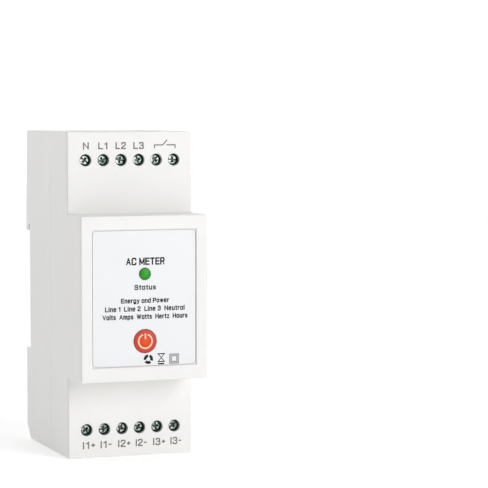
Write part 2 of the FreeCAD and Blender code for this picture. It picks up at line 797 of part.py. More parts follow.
def rail_clip_spring():
    """Closed sleeve that stands for the compression spring between stop and clip."""
    body = new_body("rail_clip_spring")
    ring = sketch_on(body, "XY_Plane", "-spring_level")
    circle(ring, "0", "spring_offset", "spring_radius")
    circle(ring, "0", "spring_offset", "spring_bore")
    pad(body, ring, "spring_length")


def board(name, depth, width, height):
    """Circuit board parallel to the front, given by the depth of its front face."""
    body = new_body(name)
    outline = rectangle(sketch_on(body, "XZ_Plane", f"{depth} - board_thick"),
                        (f"-{width} / 2", f"{width} / 2"), (f"-{height} / 2", f"{height} / 2"))
    pad(body, outline, "board_thick")
    return body


def main_board():
    """Board behind the terminals, drilled for the twelve contact pins."""
    body = board("main_board", "main_depth", "main_width", "main_height")
    holes = []
    for side in ("", "-"):
        sketch = circle(sketch_on(body, "XZ_Plane", "main_depth"),
                        "-terminal_pitch * (terminal_count - 1) / 2", f"{side}pin_level", "pin_size * 0.9")
        holes.append(pocket(body, sketch, "board_thick + 1"))
    repeat_across(body, holes, "terminal_pitch", "terminal_count")


def header(name, pins, across, level, rear, front):
    """Row of square pins between two boards, with a plastic strip at each end."""
    body = new_body(name)
    body.AllowCompound = True
    half = f"header_pitch * {pins} / 2"
    for depth in (rear, f"{front} - header_pitch"):
        strip = rectangle(sketch_on(body, "XZ_Plane", depth), (f"-{half}", half),
                          ("-header_pitch / 2", "header_pitch / 2"))
        pad(body, strip, "header_pitch")
    first = f"-header_pitch * {pins - 1} / 2"
    pin = rectangle(sketch_on(body, "XZ_Plane", rear),
                    (f"{first} - header_pin / 2", f"{first} + header_pin / 2"),
                    ("-header_pin / 2", "header_pin / 2"))
    features = [pad(body, pin, f"({front}) - ({rear})")]
    repeat_across(body, features, "header_pitch", str(pins))
    put(body, across, "0", level)


def tact_switch():
    """Square push switch on the front board, bored for its plunger."""
    body = new_body("tact_switch")
    outline = rectangle(sketch_on(body, "XZ_Plane", "front_depth"),
                        ("-switch_size / 2", "switch_size / 2"), ("-switch_size / 2", "switch_size / 2"))
    pad(body, outline, "switch_tall")
    bore = circle(sketch_on(body, "XZ_Plane", "front_depth + switch_tall"), "0", "0",
                  "plunger_radius + lap_gap")
    pocket(body, bore, "plunger_proud + plunger_sunk + lap_gap * 2")
    put(body, "control_offset", "0", "-button_level")


def tact_plunger():
    """Plunger of the push switch, which the button's stem rests on."""
    body = new_body("tact_plunger")
    disc = circle(sketch_on(body, "XZ_Plane", "front_depth + switch_tall - plunger_sunk"), "0", "0",
                  "plunger_radius")
    pad(body, disc, "plunger_sunk + plunger_proud")
    put(body, "control_offset", "0", "-button_level")


def box(part, foot, shift="0", name=None):
    """Rectangular component that stands on a board; its five sizes are in the sheet."""
    piece = doc.addObject("Part::Box", name or part)
    piece.setExpression("Length", bound(f"{part}_wide"))
    piece.setExpression("Width", bound(f"{part}_tall"))
    piece.setExpression("Height", bound(f"{part}_high"))
    piece.setExpression("Placement.Base.x", bound(f"{part}_across - {part}_wide / 2"))
    piece.setExpression("Placement.Base.y", bound(f"-({foot}) - {part}_tall"))
    piece.setExpression("Placement.Base.z", bound(f"{part}_level + {shift} - {part}_high / 2"))
    return piece


def can(part, foot, shift="0", name=None):
    """Round component that stands on a board and points forward."""
    piece = doc.addObject("Part::Cylinder", name or part)
    piece.setExpression("Radius", bound(f"{part}_wide / 2"))
    piece.setExpression("Height", bound(f"{part}_tall"))
    piece.Placement = Placement(Vector(0, 0, 0), Rotation(Vector(1, 0, 0), 90))
    piece.setExpression("Placement.Base.x", bound(f"{part}_across"))
    piece.setExpression("Placement.Base.y", bound(f"-({foot})"))
    piece.setExpression("Placement.Base.z", bound(f"{part}_level + {shift}"))
    return piece


def group(name, pieces):
    """Several separate solids that make one sub-part."""
    whole = doc.addObject("Part::Compound", name)
    whole.Links = pieces


def column(name, make, part, foot, count):
    """A column of identical components, spaced by their own pitch."""
    group(name, [make(part, foot, f"{part}_pitch * {step}", f"{part}_{step + 1}") for step in range(count)])


def transformer():
    """Closed ferrite core round a taped winding."""
    core = doc.addObject("Part::Cut", "transformer_core")
    core.Base = box("core", "power_depth")
    core.Tool = box("core_window", "power_depth + core_foot")
    box("winding", "power_depth + core_foot + lap_gap * 2").Label = "transformer_winding"


def power_parts():
    """Supply and relay parts, which stand on the power board behind the main board."""
    foot = "power_depth"
    box("relay_body", foot)
    transformer()
    column("bulk_capacitors", can, "bulk", foot, 2)
    box("safety_capacitor", foot)
    column("varistors", box, "varistor", foot, 3)
    box("bridge_rectifier", foot)
    can("filter_inductor", foot)
    fuse = can("input_fuse", foot)
    fuse.Placement = Placement(Vector(0, 0, 0), Rotation(Vector(0, 1, 0), 90))
    fuse.setExpression("Placement.Base.x", bound("input_fuse_across - input_fuse_tall / 2"))
    fuse.setExpression("Placement.Base.y", bound("-power_depth - input_fuse_wide / 2"))


def metering_parts():
    """Measuring and radio parts, on the front of the main board."""
    foot = "main_depth"
    box("metering_chip", foot)
    box("crystal", foot)
    box("wireless_module", foot)
    box("wireless_shield", f"{foot} + wireless_module_tall")
    column("optocouplers", box, "coupler", foot, 3)
    column("divider_resistors", box, "divider", foot, 6)
    column("burden_resistors", box, "burden", foot, 4)


def check_document():
    """Stop if any object failed, or any cut took nothing away."""
    for item in doc.Objects:
        if "Invalid" in item.State or "Error" in item.State:
            raise RuntimeError(f"{item.Name} ({item.Label}) failed: {item.State}")
        if item.TypeId in ("PartDesign::Pocket", "PartDesign::SubtractiveLoft"):
            if item.BaseFeature.Shape.Volume - item.Shape.Volume < 0.01:
                raise RuntimeError(f"{item.Name} in {item.getParent().Label} cuts nothing")


def sub_parts():
    """The finished sub-parts: objects that no other shape is made from."""
    used = {piece for item in doc.Objects if item.TypeId in ("Part::Compound", "Part::Cut")
            for piece in item.OutList}
    kinds = ("PartDesign::Body", "Part::Box", "Part::Cylinder", "Part::Compound", "Part::Cut")
    return [item for item in doc.Objects if item.TypeId in kinds and item not in used]


def export_parts():
    """Write each sub-part to its own file, named after its label."""
    os.makedirs("parts", exist_ok=True)
    for item in sub_parts():
        if item.Shape.isNull() or not item.Shape.isValid():
            raise RuntimeError(f"{item.Label} has no valid shape")
        item.Shape.exportStep(f"parts/{item.Label}.step")
        print(item.Label, len(item.Shape.Solids), round(item.Shape.Volume, 2))


fill_sheet()
base_housing()
front_cover()
label_plate()
indicator_lens()
power_button()
for row, turn in (("upper", 0), ("lower", 180)):
    terminal_block(f"terminal_block_{row}", turn)
    terminal_contacts(f"terminal_contacts_{row}", turn)
for number, across, side in terminal_places():
    terminal_screw(number, across, side)
    terminal_cage(number, across, side)
main_board()
board("power_board", "power_depth", "power_width", "power_height")
board("front_board", "front_depth", "front_width", "front_height")
header("board_link_header", 6, "link_across", "link_level", "power_depth", "main_depth - board_thick")
header("front_link_header", 5, "front_link_across", "front_link_level", "main_depth",
       "front_depth - board_thick")
tact_switch()
tact_plunger()
box("status_led", "front_depth")
power_parts()
metering_parts()
rail_clip()
rail_clip_spring()
doc.recompute()
check_document()
export_parts()
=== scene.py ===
"""Looks for a rail-mounted three-phase power meter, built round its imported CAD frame.

Metres, in the CAD's own frame: +X right, +Y back into the rail, +Z up, printed front at -Y.
"""
import json
import math

import bpy
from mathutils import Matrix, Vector


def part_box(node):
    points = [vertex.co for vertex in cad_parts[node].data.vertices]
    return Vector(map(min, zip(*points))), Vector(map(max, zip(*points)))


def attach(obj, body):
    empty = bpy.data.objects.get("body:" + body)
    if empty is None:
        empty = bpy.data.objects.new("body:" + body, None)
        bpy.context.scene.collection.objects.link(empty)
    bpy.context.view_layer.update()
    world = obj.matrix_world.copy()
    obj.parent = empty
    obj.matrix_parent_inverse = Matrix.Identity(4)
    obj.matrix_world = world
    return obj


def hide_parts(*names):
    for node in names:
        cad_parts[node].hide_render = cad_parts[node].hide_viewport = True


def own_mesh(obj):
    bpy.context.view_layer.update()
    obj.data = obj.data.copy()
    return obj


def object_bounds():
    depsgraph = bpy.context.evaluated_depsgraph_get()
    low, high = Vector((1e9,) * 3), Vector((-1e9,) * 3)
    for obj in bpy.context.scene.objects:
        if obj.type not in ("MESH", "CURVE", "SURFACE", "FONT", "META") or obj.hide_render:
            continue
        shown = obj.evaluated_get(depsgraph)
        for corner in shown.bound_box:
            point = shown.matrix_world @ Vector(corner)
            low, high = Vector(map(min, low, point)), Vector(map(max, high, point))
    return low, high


MM = 0.001

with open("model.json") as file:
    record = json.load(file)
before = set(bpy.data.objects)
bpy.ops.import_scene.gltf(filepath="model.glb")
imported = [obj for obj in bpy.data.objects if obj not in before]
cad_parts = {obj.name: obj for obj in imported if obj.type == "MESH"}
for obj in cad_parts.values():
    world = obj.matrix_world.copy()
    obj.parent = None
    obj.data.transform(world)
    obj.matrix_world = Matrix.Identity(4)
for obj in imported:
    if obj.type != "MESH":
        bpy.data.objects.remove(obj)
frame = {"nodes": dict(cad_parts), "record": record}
cad_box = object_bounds()

HOUSING, BUTTON = "housing", "button"
# The pitch, and the places and weights of the prints, are in millimetres.
TERMINAL_PITCH = 5.08
TERMINAL_FACE = -39.5 * MM
CAP_RADIUS, CAP_CROWN = 3.2 * MM, 0.25 * MM
LENS_RADIUS = 1.6 * MM


# ---------------------------------------------------------------- camera, floor and light

CAMERA_AZIMUTH = math.radians(20.45)
CAMERA_ELEVATION = math.radians(3.67)
CAMERA_PLACE = Vector((-183.3, -620.9, 53.0)) * MM
CAMERA_LENS = 163.1

FLOOR_REACH = 6.0
BACKDROP_HALF_WIDTH, BACKDROP_Y, BACKDROP_TOP = 4.0, 2.2, 3.0
WORLD_STRENGTH = 0.24
# Each soft light's place and target, the side of its square in metres, and its power in watts.
PANELS = {
    "top_light": ((0.1, -0.25, 1.3), (0, 0, 0), 1.6, 6.4),
    "key_light": ((0.62, -1.15, 0.42), (0, -0.03, 0), 0.7, 9.5),
}


def add_camera():
    data = bpy.data.cameras.new("camera")
    data.lens = CAMERA_LENS
    data.clip_start = 10 * MM
    camera = bpy.data.objects.new("camera", data)
    camera.location = CAMERA_PLACE
    camera.rotation_euler = (math.pi / 2 - CAMERA_ELEVATION, 0, -CAMERA_AZIMUTH)
    bpy.context.collection.objects.link(camera)
    bpy.context.scene.camera = camera


def add_panel(name, place, target, size, power):
    """Square soft light at a place, aimed at a target."""
    data = bpy.data.lights.new(name, "AREA")
    data.shape = "SQUARE"
    data.size = size
    data.energy = power
    lamp = bpy.data.objects.new(name, data)
    lamp.location = place
    aim = Vector(target) - Vector(place)
    lamp.rotation_euler = aim.to_track_quat("-Z", "Y").to_euler()
    bpy.context.collection.objects.link(lamp)


def add_sheet(name, corners, material):
    """Flat stage surface through four corners."""
    mesh = bpy.data.meshes.new(name)
    mesh.from_pydata(corners, [], [(0, 1, 2, 3)])
    sheet = bpy.data.objects.new(name, mesh)
    mesh.materials.append(material)
    bpy.context.collection.objects.link(sheet)


def add_stage():
    """Floor and backdrop with a glow that keeps them pale, two soft lights and a white world."""
    low = cad_box[0][2]
    corners = [(-1, -1), (1, -1), (1, 1), (-1, 1)]
    floor = [(x * FLOOR_REACH, y * FLOOR_REACH, low) for x, y in corners]
    add_sheet("floor", floor, studio_white("floor_white", 0.92, 0.3))
    backdrop = [(side * BACKDROP_HALF_WIDTH, BACKDROP_Y, BACKDROP_TOP if upper > 0 else low)
                for side, upper in corners]
    add_sheet("backdrop", backdrop, studio_white("backdrop_white", 0.9, 1.0))
    for name, (place, target, size, power) in PANELS.items():
        add_panel(name, place, target, size, power)
    world = bpy.data.worlds.new("studio")
    bpy.context.scene.world = world
    world.use_nodes = True
    background = world.node_tree.nodes["Background"]
    background.inputs["Color"].default_value = (1, 1, 1, 1)
    background.inputs["Strength"].default_value = WORLD_STRENGTH
    bpy.context.scene.view_settings.view_transform = "Standard"


# ---------------------------------------------------------------- materials

# Noise sizes and relief depths are in metres; colours are linear red, green and blue.

class Shader:
    """A Principled material under construction, with short calls for its nodes."""

    def __init__(self, name, color, roughness, metallic=0.0):
        self.material = bpy.data.materials.new(name)
        self.material.use_nodes = True
        self.tree = self.material.node_tree
        self.surface = self.tree.nodes["Principled BSDF"]
        self.set("Base Color", (*color, 1))
        self.set("Roughness", roughness)
        self.set("Metallic", metallic)
        self.place = self.node("ShaderNodeTexCoord").outputs["Object"]
        self.material.diffuse_color = (*color, 1)

    def node(self, kind, **settings):
        node = self.tree.nodes.new(kind)
        for key, value in settings.items():
            setattr(node, key, value)
        return node

    def link(self, source, target):
        self.tree.links.new(source, target)

    def set(self, name, value):
        self.surface.inputs[name].default_value = value

    def noise(self, size, detail, stretch=(1, 1, 1)):
        """Cloudy noise whose features are about size metres across."""
        mapping = self.node("ShaderNodeMapping")
        mapping.inputs["Scale"].default_value = stretch
        self.link(self.place, mapping.inputs["Vector"])
        node = self.node("ShaderNodeTexNoise")
        node.inputs["Scale"].default_value = 1 / size
        node.inputs["Detail"].default_value = detail
        self.link(mapping.outputs["Vector"], node.inputs["Vector"])
        return node.outputs["Fac"]

    def ramp(self, source, stops):
        """Colour ramp from (position, colour) pairs."""
        node = self.node("ShaderNodeValToRGB")
        elements = node.color_ramp.elements
        while len(elements) < len(stops):
            elements.new(0.5)
        for element, (position, color) in zip(elements, stops):
            element.position = position
            element.color = (*color, 1)
        self.link(source, node.inputs["Fac"])
        return node.outputs["Color"]

    def spread(self, source, low, high):
        """Map a 0 to 1 value to a range."""
        node = self.node("ShaderNodeMapRange")
        node.inputs["To Min"].default_value = low
        node.inputs["To Max"].default_value = high
        self.link(source, node.inputs["Value"])
        return node.outputs["Result"]

    def bump(self, height, depth, strength):
        """Relief of a depth in metres, laid over any relief already there."""
        node = self.node("ShaderNodeBump")
        node.inputs["Strength"].default_value = strength
        node.inputs["Distance"].default_value = depth
        self.link(height, node.inputs["Height"])
        previous = self.surface.inputs["Normal"]
        if previous.is_linked:
            self.link(previous.links[0].from_socket, node.inputs["Normal"])
        self.link(node.outputs["Normal"], previous)

    def drive(self, name, source):
        self.link(source, self.surface.inputs[name])

    def blend_colors(self, mode, share, first, second):
        """Mix two colours by a number or by a socket from 0 to 1."""
        node = self.node("ShaderNodeMix", data_type="RGBA", blend_type=mode)
        if isinstance(share, float):
            node.inputs["Factor"].default_value = share
        else:
            self.link(share, node.inputs["Factor"])
        self.link(first, node.inputs["A"])
        self.link(second, node.inputs["B"])
        return node.outputs["Result"]

    def distance_from(self, axis_point, reach):
        """0 on a line parallel to Y through a point, 1 at reach metres from it."""
        shift = self.node("ShaderNodeVectorMath", operation="SUBTRACT")
        shift.inputs[1].default_value = axis_point
        self.link(self.place, shift.inputs[0])
        flat = self.node("ShaderNodeVectorMath", operation="MULTIPLY")
        flat.inputs[1].default_value = (1, 0, 1)
        self.link(shift.outputs["Vector"], flat.inputs[0])
        length = self.node("ShaderNodeVectorMath", operation="LENGTH")
        self.link(flat.outputs["Vector"], length.inputs[0])
        share = self.node("ShaderNodeMath", operation="DIVIDE")
        share.inputs[1].default_value = reach
        self.link(length.outputs["Value"], share.inputs[0])
        return share.outputs["Value"]


def shade(color, factor):
    """A colour made darker or lighter by a factor."""
    return tuple(min(1.0, channel * factor) for channel in color)


def studio_white(name, value, glow):
    """Matt white for the stage, with a glow that keeps it pale where the lights fade."""
    shader = Shader(name, (value, value, value), 0.9)
    shader.set("Specular IOR Level", 0.0)
    shader.set("Emission Color", (1, 1, 1, 1))
    shader.set("Emission Strength", glow)
    return shader.material


def moulded(name, color, roughness=0.45, grain=0.12 * MM, depth=0.006 * MM):
    """Moulded plastic: fine spark-eroded grain, faint flow marks and uneven gloss."""
    shader = Shader(name, color, roughness)
    shader.set("IOR", 1.53)
    shader.set("Subsurface Weight", 0.06)
    shader.set("Subsurface Radius", (1.0 * MM, 0.97 * MM, 0.93 * MM))
    flow = shader.noise(14 * MM, 4.0, (1, 1, 0.35))
    tones = [(0.25, shade(color, 0.985)), (0.75, shade(color, 1.01))]
    shader.drive("Base Color", shader.ramp(flow, tones))
    gloss = shader.noise(3 * MM, 3.0)
    shader.drive("Roughness", shader.spread(gloss, roughness - 0.06, roughness + 0.07))
    shader.bump(shader.noise(grain, 3.0), depth, 0.35)
    shader.bump(shader.noise(22 * MM, 1.0), 0.05 * MM, 0.25)
    return shader.material


def glossy(name, color, roughness, clear=0.0):
    """Polished moulded plastic with faint handling haze."""
    shader = Shader(name, color, roughness)
    shader.set("Coat Weight", 0.35)
    shader.set("Coat Roughness", 0.12)
    shader.set("Transmission Weight", clear)
    haze = shader.noise(2.5 * MM, 5.0)
    shader.drive("Roughness", shader.spread(haze, roughness - 0.05, roughness + 0.1))
    tones = [(0.2, shade(color, 0.94)), (0.8, shade(color, 1.04))]
    shader.drive("Base Color", shader.ramp(haze, tones))
    shader.bump(shader.noise(0.5 * MM, 2.0), 0.004 * MM, 0.3)
    return shader.material


def metal(name, color, roughness, stretch=(1, 1, 1)):
    """Plated metal with rolled or turned scratches and dull spots in the plating."""
    shader = Shader(name, color, roughness, 1.0)
    lines = shader.noise(0.25 * MM, 6.0, stretch)
    spots = shader.noise(1.1 * MM, 3.0)
    shader.drive("Roughness", shader.spread(spots, roughness - 0.1, roughness + 0.16))
    tones = [(0.2, shade(color, 0.8)), (0.75, shade(color, 1.08))]
    shader.drive("Base Color", shader.ramp(spots, tones))
    shader.bump(lines, 0.012 * MM, 0.5)
    return shader.material


def screw_plate():
    """Zinc plated screw tinted unevenly, with painted shade and glints on its head and painted
    shade in the drive recess.
    """
    shader = Shader("screw_steel", (0.42, 0.47, 0.45), 0.24, 1.0)
    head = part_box("terminal_screw_1")[0][1]
    # Painted shade: a mask that grows from the head face down into the drive recess.
    depth = shader.node("ShaderNodeMapRange")
    depth.inputs["From Min"].default_value = head + 0.03 * MM
    depth.inputs["From Max"].default_value = head + 0.35 * MM
    split = shader.node("ShaderNodeSeparateXYZ")
    shader.link(shader.place, split.inputs["Vector"])
    shader.link(split.outputs["Y"], depth.inputs["Value"])
    # Uneven plating tint, kept dark overall as painted shade of the well; the mottle's white
    # spots are painted glints.
    tint = shader.ramp(shader.noise(7 * MM, 1.0),
                       [(0.38, (0.24, 0.39, 0.33)), (0.62, (0.74, 0.75, 0.72))])
    spots = shader.noise(0.7 * MM, 4.0)
    mottle = shader.ramp(spots, [(0.40, (0.28, 0.33, 0.31)), (0.57, (1.0, 1.0, 1.0))])
    face = shader.blend_colors("MULTIPLY", 1.0, tint, mottle)
    # Dark colour painted into the drive recess as shade.
    recess_shade = shader.node("ShaderNodeRGB")
    recess_shade.outputs["Color"].default_value = (0.085, 0.12, 0.105, 1)
    shaded_head = shader.blend_colors("MIX", depth.outputs["Result"], face, recess_shade.outputs["Color"])
    shader.drive("Base Color", shaded_head)
    shader.drive("Roughness", shader.spread(spots, 0.42, 0.16))
    shader.bump(shader.noise(0.12 * MM, 5.0), 0.02 * MM, 0.5)
    return shader.material


def label_film():
    """Screen-printed polyester film: smooth, faintly cool, with a soft orange-peel gloss."""
    color = (0.775, 0.78, 0.795)
    shader = Shader("label_film", color, 0.34)
    shader.set("Coat Weight", 0.2)
    shader.set("Coat Roughness", 0.25)
    shader.drive("Roughness", shader.spread(shader.noise(2 * MM, 3.0), 0.3, 0.4))
    tone = shader.noise(9 * MM, 3.0)
    tones = [(0.3, shade(color, 0.99)), (0.7, shade(color, 1.005))]
    shader.drive("Base Color", shader.ramp(tone, tones))
    shader.bump(shader.noise(0.6 * MM, 2.0), 0.004 * MM, 0.3)
    return shader.material


def ink(name, color):
    """Matt printing ink, slightly uneven where it was laid thin."""
    shader = Shader(name, color, 0.6)
    shader.set("Specular IOR Level", 0.2)
    cover = shader.noise(0.3 * MM, 4.0)
    tones = [(0.25, shade(color, 0.85)), (0.8, shade(color, 1.2))]
    shader.drive("Base Color", shader.ramp(cover, tones))
    shader.drive("Roughness", shader.spread(cover, 0.5, 0.7))
    return shader.material


def round_control(name, node, radius, stops, roughness):
    """Satin moulding coloured by stops that run from its middle, 0, to its radius, 1."""
    low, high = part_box(node)
    middle = ((low[0] + high[0]) / 2, 0, (low[2] + high[2]) / 2)
    shader = Shader(name, stops[0][1], roughness)
    shader.set("Specular IOR Level", 0.22)
    shader.drive("Base Color", shader.ramp(shader.distance_from(middle, radius), stops))
    gloss = shader.noise(1.2 * MM, 4.0)
    shader.drive("Roughness", shader.spread(gloss, roughness - 0.06, roughness + 0.09))
    shader.bump(shader.noise(0.15 * MM, 2.0), 0.004 * MM, 0.3)
    return shader.material


def lens_finish():
    """Green light pipe: clearest in the middle and deeper at the rim."""
    return round_control("lens_green", "indicator_lens", LENS_RADIUS, [
        (0.0, (0.018, 0.36, 0.008)),
        (0.5, (0.018, 0.32, 0.010)),
        (0.85, (0.026, 0.23, 0.026)),
        (1.0, (0.024, 0.15, 0.024)),
    ], 0.3)


def button_finish():
    """Two-tone cap: orange inside the printed ring and redder towards the rim, with painted shade
    just inside the ring.
    """
    return round_control("button_orange", "power_button", CAP_RADIUS, [
        (0.0, (0.78, 0.074, 0.002)),
        (0.36, (0.72, 0.068, 0.003)),
        # Painted shade: a darker band along the inner edge of the printed ring.
        (0.52, (0.50, 0.050, 0.008)),
        (0.70, (0.60, 0.060, 0.032)),
        (0.93, (0.54, 0.050, 0.034)),
        (1.0, (0.42, 0.032, 0.020)),
    ], 0.38)


def laminate(name, color):
    """Circuit board: solder mask over woven glass, with a grid of tracks as faint relief."""
    weave_bands, track_grid = 900, 240
    shader = Shader(name, color, 0.35)
    shader.set("Coat Weight", 0.5)
    weave = shader.node("ShaderNodeTexWave", wave_type="BANDS", bands_direction="X")
    weave.inputs["Scale"].default_value = weave_bands
    shader.link(shader.place, weave.inputs["Vector"])
    tracks = shader.node("ShaderNodeTexBrick")
    tracks.inputs["Scale"].default_value = track_grid
    tracks.inputs["Color1"].default_value = (*shade(color, 1.25), 1)
    tracks.inputs["Color2"].default_value = (*shade(color, 1.0), 1)
    tracks.inputs["Mortar"].default_value = (*shade(color, 0.55), 1)
    turn = shader.node("ShaderNodeMapping")
    turn.inputs["Rotation"].default_value = (math.pi / 2, 0, 0)
    shader.link(shader.place, turn.inputs["Vector"])
    shader.link(turn.outputs["Vector"], tracks.inputs["Vector"])
    shader.drive("Base Color", tracks.outputs["Color"])
    shader.bump(weave.outputs["Fac"], 0.01 * MM, 0.2)
    shader.bump(tracks.outputs["Fac"], 0.03 * MM, 0.4)
    return shader.material


def dress_frame():
    """Give every CAD node its finish, by the record's material slots."""
    white = (0.80, 0.795, 0.78)
    finishes = {
        "housing_plastic": moulded("housing_plastic", white),
        "label_film": label_film(),
        "lens_green": lens_finish(),
        "button_orange": button_finish(),
        "terminal_green": moulded("terminal_green", (0.006, 0.045, 0.028), 0.5),
        "screw_steel": screw_plate(),
        "cage_steel": metal("cage_steel", (0.58, 0.58, 0.54), 0.35, (1, 6, 1)),
        "contact_tin": metal("contact_tin", (0.66, 0.65, 0.60), 0.3, (1, 1, 5)),
        "board_laminate": laminate("board_laminate", (0.01, 0.12, 0.035)),
        "header_black": moulded("header_black", (0.02, 0.02, 0.02), 0.5),
        "switch_black": moulded("switch_black", (0.03, 0.03, 0.03), 0.4),
        "led_clear": glossy("led_clear", (0.6, 0.85, 0.55), 0.15, 0.4),
        "relay_plastic": moulded("relay_plastic", (0.03, 0.03, 0.035), 0.4),
        "ferrite": moulded("ferrite", (0.05, 0.05, 0.055), 0.65, 0.2 * MM, 0.02 * MM),
        "winding_tape": glossy("winding_tape", (0.72, 0.45, 0.04), 0.25),
        "capacitor_sleeve": glossy("capacitor_sleeve", (0.02, 0.025, 0.06), 0.3),
        "film_box": moulded("film_box", (0.72, 0.42, 0.03), 0.4),
        "varistor_epoxy": glossy("varistor_epoxy", (0.02, 0.07, 0.35), 0.3),
        "fuse_ceramic": moulded("fuse_ceramic", (0.62, 0.58, 0.46), 0.5),
        "chip_black": moulded("chip_black", (0.025, 0.025, 0.027), 0.55),
        "inductor_black": glossy("inductor_black", (0.02, 0.02, 0.02), 0.35),
        "radio_board": laminate("radio_board", (0.01, 0.03, 0.14)),
        "shield_metal": metal("shield_metal", (0.68, 0.68, 0.67), 0.28, (1, 1, 8)),
        "resistor_black": moulded("resistor_black", (0.03, 0.03, 0.035), 0.45),
        "clip_plastic": moulded("clip_plastic", shade(white, 0.93), 0.42),
        "spring_steel": metal("spring_steel", (0.6, 0.6, 0.6), 0.25),
    }
    for row in frame["record"]["subparts"]:
        node = frame["nodes"][row["node"]]
        finish = finishes[row["material_slot"]]
        node.data.materials.clear()
        node.data.materials.append(finish)
    return finishes


# ---------------------------------------------------------------- prints and small pieces

def add_piece(name, mesh, material, body):
    """Turn a finished mesh into a piece that rides on a body."""
    piece = bpy.data.objects.new(name, mesh)
    bpy.context.collection.objects.link(piece)
    mesh.materials.clear()
    mesh.materials.append(material)
    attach(piece, body)
    return piece


# Plain sans-serif letters on a grid 10 units high: each one's width, then its strokes. A stroke
# is a run of points: "~" rounds its corners and "@" closes it into a rounded loop.
BOWL = "@5.5,3.6 5.5,7.3 2.7,7.3 0,7.3 0,3.6 0,-0.2 2.7,-0.2 5.5,-0.2"
GLYPHS = {
    "A": (8, "0,0 4,10 8,0", "2.4,3.2 5.6,3.2"),
    "C": (8, "~7.8,7.6 7.4,10.2 4,10.2 0,10.2 0,5 0,-0.2 4,-0.2 7.4,-0.2 7.8,2.4"),
    "E": (6.4, "6.4,10 0,10 0,0 6.4,0", "0,5.2 6,5.2"),
    "H": (7.4, "0,0 0,10", "7.4,0 7.4,10", "0,5.2 7.4,5.2"),
    "I": (0, "0,0 0,10"),
    "L": (5.6, "0,10 0,0 5.6,0"),
    "M": (9, "0,0 0,10 4.5,1.4 9,10 9,0"),
    "N": (7.4, "0,0 0,10 7.4,0 7.4,10"),
    "P": (6.8, "0,0 0,10", "~0,10 4.2,10 6.8,10 6.8,4.6 4.2,4.6 0,4.6"),
    "R": (7, "0,0 0,10", "~0,10 4.2,10 6.8,10 6.8,4.8 4.2,4.8 0,4.8", "3.8,4.8 7,0"),
    "S": (6.8, "~6.5,8 6.3,10.2 3.4,10.2 0.2,10.2 0.2,5.6 3.4,5.2 "
               "6.9,4.8 6.8,-0.2 3.4,-0.2 0.2,-0.2 0.1,2"),
    "T": (7.2, "0,10 7.2,10", "3.6,10 3.6,0"),
    "V": (7.8, "0,10 3.9,0 7.8,10"),
    "W": (11, "0,10 2.8,0 5.5,10 8.2,0 11,10"),
    "a": (5.5, "5.5,0 5.5,7.2", BOWL),
    "d": (5.5, "5.5,0 5.5,10", BOWL),
    "e": (5.5, "1,3.8 4.6,3.8",
          "~5.4,4.6 5.4,7.3 2.8,7.3 0,7.3 0,3.6 0,-0.2 2.8,-0.2 4,-0.2 4.8,0"),
    "g": (5.5, "~5.5,7.2 5.5,2 5.5,-3 2.7,-2.9 0.4,-2.9 0.2,-1.4",
          "@5.5,3.6 5.5,7.3 2.7,7.3 0,7.3 0,3.6 0,0 2.7,0 5.5,0"),
    "i": (0, "0,0 0,6.6", "0,9.7 0,10"),
    "l": (0, "0,0 0,10"),
    "m": (8.6, "0,0 0,7.2", "~0,3.5 0,7.3 2.3,7.3 4.3,7.3 4.3,4.5 4.3,0",
          "~4.3,3.5 4.3,7.3 6.6,7.3 8.6,7.3 8.6,4.5 8.6,0"),
    "n": (5, "0,0 0,7.2", "~0,3.5 0,7.3 2.6,7.3 5,7.3 5,4.5 5,0"),
    "o": (5.5, "@5.5,3.6 5.5,7.4 2.7,7.4 0,7.4 0,3.6 0,-0.2 2.7,-0.2 5.5,-0.2"),
    "p": (5.5, "0,-2.8 0,7.2", BOWL),
    "r": (3, "0,0 0,7.2", "~0,3.5 0.2,7 3,7.1"),
    "s": (4.8, "~4.4,6.9 3.6,7.4 2.4,7.4 0.2,7.4 0.2,4 2.4,3.7 "
               "4.9,3.4 4.8,-0.2 2.4,-0.2 1,-0.2 0.3,0.3"),
    "t": (2.8, "~1.2,9.2 1.2,3 1.2,-0.1 2.8,0", "0,7.2 2.8,7.2"),
    "u": (5, "~0,7.2 0,2.5 0,-0.2 2.4,-0.2 5,-0.2 5,3.5", "5,7.2 5,0"),
    "w": (7.6, "0,7.2 2,0 3.8,7.2 5.6,0 7.6,7.2"),
    "y": (5.4, "0,7.2 2.8,0", "~5.4,7.2 3,0.4 2,-2.9 0.3,-2.8"),
    "z": (4.8, "0.2,7.2 4.8,7.2 0,0 4.9,0"),
    "1": (2.6, "0,7.9 1.6,8.4 2.6,10 2.6,0"),
    "2": (6, "~0.2,7.8 0.2,10.2 3,10.2 5.9,10.2 6.2,6.2 3,4 0,1.6 0,0", "0,0 6.1,0"),
    "3": (6, "~0.3,8.2 0.3,10.2 3,10.2 5.8,10.2 5.8,5.4 3,5.4",
          "~3,5.4 6.1,5.4 6.1,-0.2 3,-0.2 0.1,-0.2 0.1,1.8"),
    "+": (4.4, "0.4,4.9 4,4.9", "2.2,3.1 2.2,6.7"),
    "-": (3, "0.4,4.9 2.8,4.9"),
}
CAP, LETTER_GAP, WORD_GAP = 10.0, 4.0, 4.4
CORNER_CUTS = 3

# Ink stands a little proud of its face and reaches below it. Crossing strokes are lifted by
# unequal steps, so that no two of their faces lie at one level.
INK_PROUD, INK_SUNK = 0.02 * MM, 0.01 * MM
INK_STEP, INK_LEVELS = 0.02, 5
LEAST_MITRE = 0.45


def rounded(points, closed):
    """Cut the corners of a run of points, keeping its ends where it is open."""
    for _ in range(CORNER_CUTS):
        pairs = zip(points, points[1:] + points[:1] if closed else points[1:])
        cut = [start.lerp(end, share) for start, end in pairs for share in (0.25, 0.75)]
        points = cut if closed else [points[0], *cut[1:-1], points[-1]]
    return points


